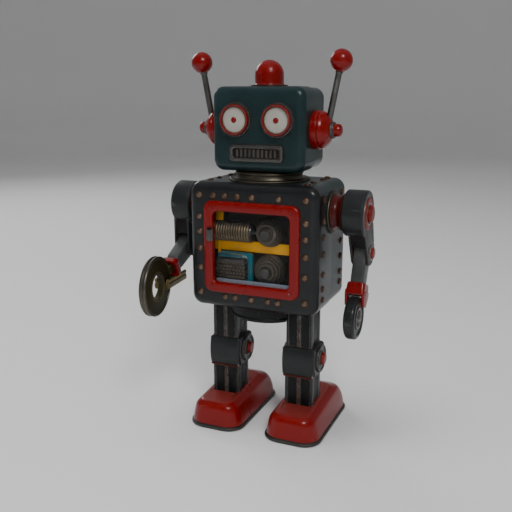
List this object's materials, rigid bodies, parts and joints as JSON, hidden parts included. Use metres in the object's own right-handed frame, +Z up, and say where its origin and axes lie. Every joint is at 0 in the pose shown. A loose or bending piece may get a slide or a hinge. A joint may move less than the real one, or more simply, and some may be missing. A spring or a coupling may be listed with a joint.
{
  "type": "tin wind-up robot",
  "caption": "Tinplate clockwork robot with a windowed movement, hinged arms and legs, and a winding key held in one hand.",
  "frame": {"origin": "on the floor, under the middle of the whole robot with its key", "axes": "+Z up, the robot faces -Y, its left hand is on the +X side"},
  "size_m": [0.1346, 0.1039, 0.2389],
  "materials": {
    "red_paint": "gloss, worn at the edges",
    "shoe_red": "semi-gloss with a dusty top and fine scratches",
    "rim_red": "gloss",
    "front_black": "satin, worn to bare metal at the corners",
    "body_teal": "satin, scratched",
    "head_teal": "satin, chipped at the edges",
    "copper_rivet": "dull with pale worn centres",
    "bare_steel": "dull",
    "antenna_steel": "red ball on a bare steel rod",
    "window_clear": "clear",
    "neck_brass": "tarnished",
    "spool_red": "dark red, worn",
    "cap_red": "gloss, worn",
    "movement_dark": "dull, oily",
    "barrel_steel": "dull",
    "spring_steel": "blued",
    "gear_brass": "satin",
    "drum_bronze": "tarnished",
    "bridge_yellow": "gloss",
    "casing_teal": "gloss",
    "fin_brass": "satin",
    "plate_blue": "satin",
    "eye_white": "gloss, yellowed",
    "gunmetal": "satin, bright worn edges",
    "forearm_grey": "satin, worn",
    "key_brass": "dull, worn rim",
    "sole_steel": "dull, dark"
  },
  "bodies": {
    "body": {"body_front_shell": "front_black", "body_rear_shell": "body_teal", "body_rivets": "copper_rivet", "window_frame": "red_paint", "window_screws": "bare_steel", "window_pane": "window_clear", "neck_collar": "neck_brass", "waist_dish": "body_teal", "shoulder_bushings": "spool_red", "movement_front_plate": "movement_dark", "movement_rear_plate": "movement_dark", "yellow_bridge": "bridge_yellow", "motor_casing": "casing_teal", "fin_block": "fin_brass", "floor_plate": "plate_blue", "spring_barrel": "barrel_steel", "mainspring": "spring_steel", "hip_pins": "bare_steel"},
    "head": {"head_front_shell": "head_teal", "head_rear_shell": "head_teal", "dome": "red_paint", "eye_rings": "bare_steel", "eye_rims": "rim_red", "eye_discs": "eye_white", "mouth_grille": "bare_steel"},
    "ear_left": {"ear_cap_left": "red_paint", "antenna_left": "antenna_steel"},
    "ear_right": {"ear_cap_right": "red_paint", "antenna_right": "antenna_steel"},
    "arm_left": {"upper_arm_left": "gunmetal", "arm_pins_left": "cap_red"},
    "arm_right": {"upper_arm_right": "gunmetal", "arm_pins_right": "cap_red"},
    "forearm_left": {"forearm_left": "forearm_grey", "cuff_left": "red_paint"},
    "forearm_right": {"forearm_right": "forearm_grey", "cuff_right": "red_paint", "key_clip": "bare_steel"},
    "hand_left": {"ring_hand": "forearm_grey"},
    "key": {"key_bow": "key_brass", "key_stem": "key_brass"},
    "leg_left": {"upper_leg_left": "gunmetal", "knee_pin_left": "cap_red"},
    "leg_right": {"upper_leg_right": "gunmetal", "knee_pin_right": "cap_red"},
    "shin_left": {"lower_leg_left": "gunmetal"},
    "shin_right": {"lower_leg_right": "gunmetal"},
    "foot_left": {"shoe_left": "shoe_red", "sole_left": "sole_steel"},
    "foot_right": {"shoe_right": "shoe_red", "sole_right": "sole_steel"},
    "low_train": {"great_wheel": "gear_brass", "lower_drum": "drum_bronze"},
    "up_train": {"upper_wheel": "gear_brass", "upper_drum": "drum_bronze"},
    "winding": {"winding_arbor": "bare_steel"},
    "crank": {"crankshaft": "bare_steel"},
    "coil": {"coil_drum": "drum_bronze"},
    "click": {"click": "bare_steel"},
    "stop_lever": {"stop_lever": "bare_steel"}
  },
  "joints": [
    {"name": "head_turn", "type": "hinge", "parent": "body", "child": "head", "pos_m": [0, 0.0116, 0.1677], "axis": [0, 0, 1], "range_deg": [-60, 60]},
    {"name": "ear_left_tilt", "type": "hinge", "parent": "head", "child": "ear_left", "pos_m": [0.031, 0.0096, 0.1925], "axis": [1, 0, 0], "range_deg": [-25, 25]},
    {"name": "ear_right_tilt", "type": "hinge", "parent": "head", "child": "ear_right", "pos_m": [-0.031, 0.0096, 0.1925], "axis": [1, 0, 0], "range_deg": [-25, 25]},
    {"name": "shoulder_left", "type": "hinge", "parent": "body", "child": "arm_left", "pos_m": [0.057, 0.0116, 0.1434], "axis": [-1, 0, 0], "range_deg": [-60, 110]},
    {"name": "shoulder_right", "type": "hinge", "parent": "body", "child": "arm_right", "pos_m": [-0.057, 0.0116, 0.1434], "axis": [-1, 0, 0], "range_deg": [-40, 80]},
    {"name": "elbow_left", "type": "hinge", "parent": "arm_left", "child": "forearm_left", "pos_m": [0.0587, 0.02151, 0.11732], "axis": [-1, 0, 0], "range_deg": [-43, 44]},
    {"name": "elbow_right", "type": "hinge", "parent": "arm_right", "child": "forearm_right", "pos_m": [-0.0587, 0.00999, 0.11555], "axis": [-1, 0, 0], "range_deg": [-60, 24]},
    {"name": "wrist_left", "type": "hinge", "parent": "forearm_left", "child": "hand_left", "pos_m": [0.0587, 0.00932, 0.0886], "axis": [-1, 0, 0], "range_deg": [-15, 15]},
    {"name": "key_pull", "type": "slide", "parent": "forearm_right", "child": "key", "axis": [0.0866, -0.9075, -0.4111], "range_m": [0, 0.012]},
    {"name": "hip_left", "type": "hinge", "parent": "body", "child": "leg_left", "pos_m": [0.0257, 0.0071, 0.091], "axis": [1, 0, 0], "range_deg": [-7.5, 7.5]},
    {"name": "hip_right", "type": "hinge", "parent": "body", "child": "leg_right", "pos_m": [-0.0257, 0.0071, 0.091], "axis": [1, 0, 0], "range_deg": [-7.5, 7.5]},
    {"name": "knee_left", "type": "hinge", "parent": "leg_left", "child": "shin_left", "pos_m": [0.0257, 0.0096, 0.0479], "axis": [1, 0, 0], "range_deg": [0, 35]},
    {"name": "knee_right", "type": "hinge", "parent": "leg_right", "child": "shin_right", "pos_m": [-0.0257, 0.0096, 0.0479], "axis": [1, 0, 0], "range_deg": [0, 35]},
    {"name": "ankle_left", "type": "hinge", "parent": "shin_left", "child": "foot_left", "pos_m": [0.0257, 0.0071, 0.012], "axis": [1, 0, 0], "range_deg": [-7.5, 7.5]},
    {"name": "ankle_right", "type": "hinge", "parent": "shin_right", "child": "foot_right", "pos_m": [-0.0257, 0.0071, 0.012], "axis": [1, 0, 0], "range_deg": [-7.5, 7.5]},
    {"name": "low_spin", "type": "hinge", "parent": "body", "child": "low_train", "pos_m": [0.0066, -0.0004, 0.1062], "axis": [0, 1, 0], "continuous": true},
    {"name": "up_spin", "type": "hinge", "parent": "body", "child": "up_train", "pos_m": [0.0066, -0.0004, 0.1302], "axis": [0, 1, 0], "continuous": true},
    {"name": "winding_spin", "type": "hinge", "parent": "body", "child": "winding", "pos_m": [-0.00899, 0.0116, 0.1152], "axis": [0, 1, 0], "continuous": true},
    {"name": "crank_spin", "type": "hinge", "parent": "body", "child": "crank", "pos_m": [0, 0.0071, 0.1062], "axis": [1, 0, 0], "continuous": true},
    {"name": "coil_spin", "type": "hinge", "parent": "body", "child": "coil", "pos_m": [-0.016, -0.008, 0.1302], "axis": [1, 0, 0], "continuous": true},
    {"name": "click_lift", "type": "hinge", "parent": "body", "child": "click", "pos_m": [-0.02139, 0.0146, 0.1206], "axis": [0, -1, 0], "range_deg": [0, 10]},
    {"name": "stop_lever_turn", "type": "hinge", "parent": "body", "child": "stop_lever", "pos_m": [-0.0271, -0.0204, 0.1326], "axis": [0, 1, 0], "range_deg": [-30, 30]}
  ],
  "couplings": [
    {"joint": "up_spin", "follows": "low_spin", "ratio": -1.2857},
    {"joint": "winding_spin", "follows": "low_spin", "ratio": -3},
    {"joint": "crank_spin", "follows": "low_spin", "ratio": -3},
    {"joint": "coil_spin", "follows": "low_spin", "ratio": -3.2143},
    {"joint": "hip_right", "follows": "hip_left", "ratio": -1},
    {"joint": "ankle_left", "follows": "hip_left", "ratio": -1},
    {"joint": "ankle_right", "follows": "hip_left", "ratio": 1}
  ]
}
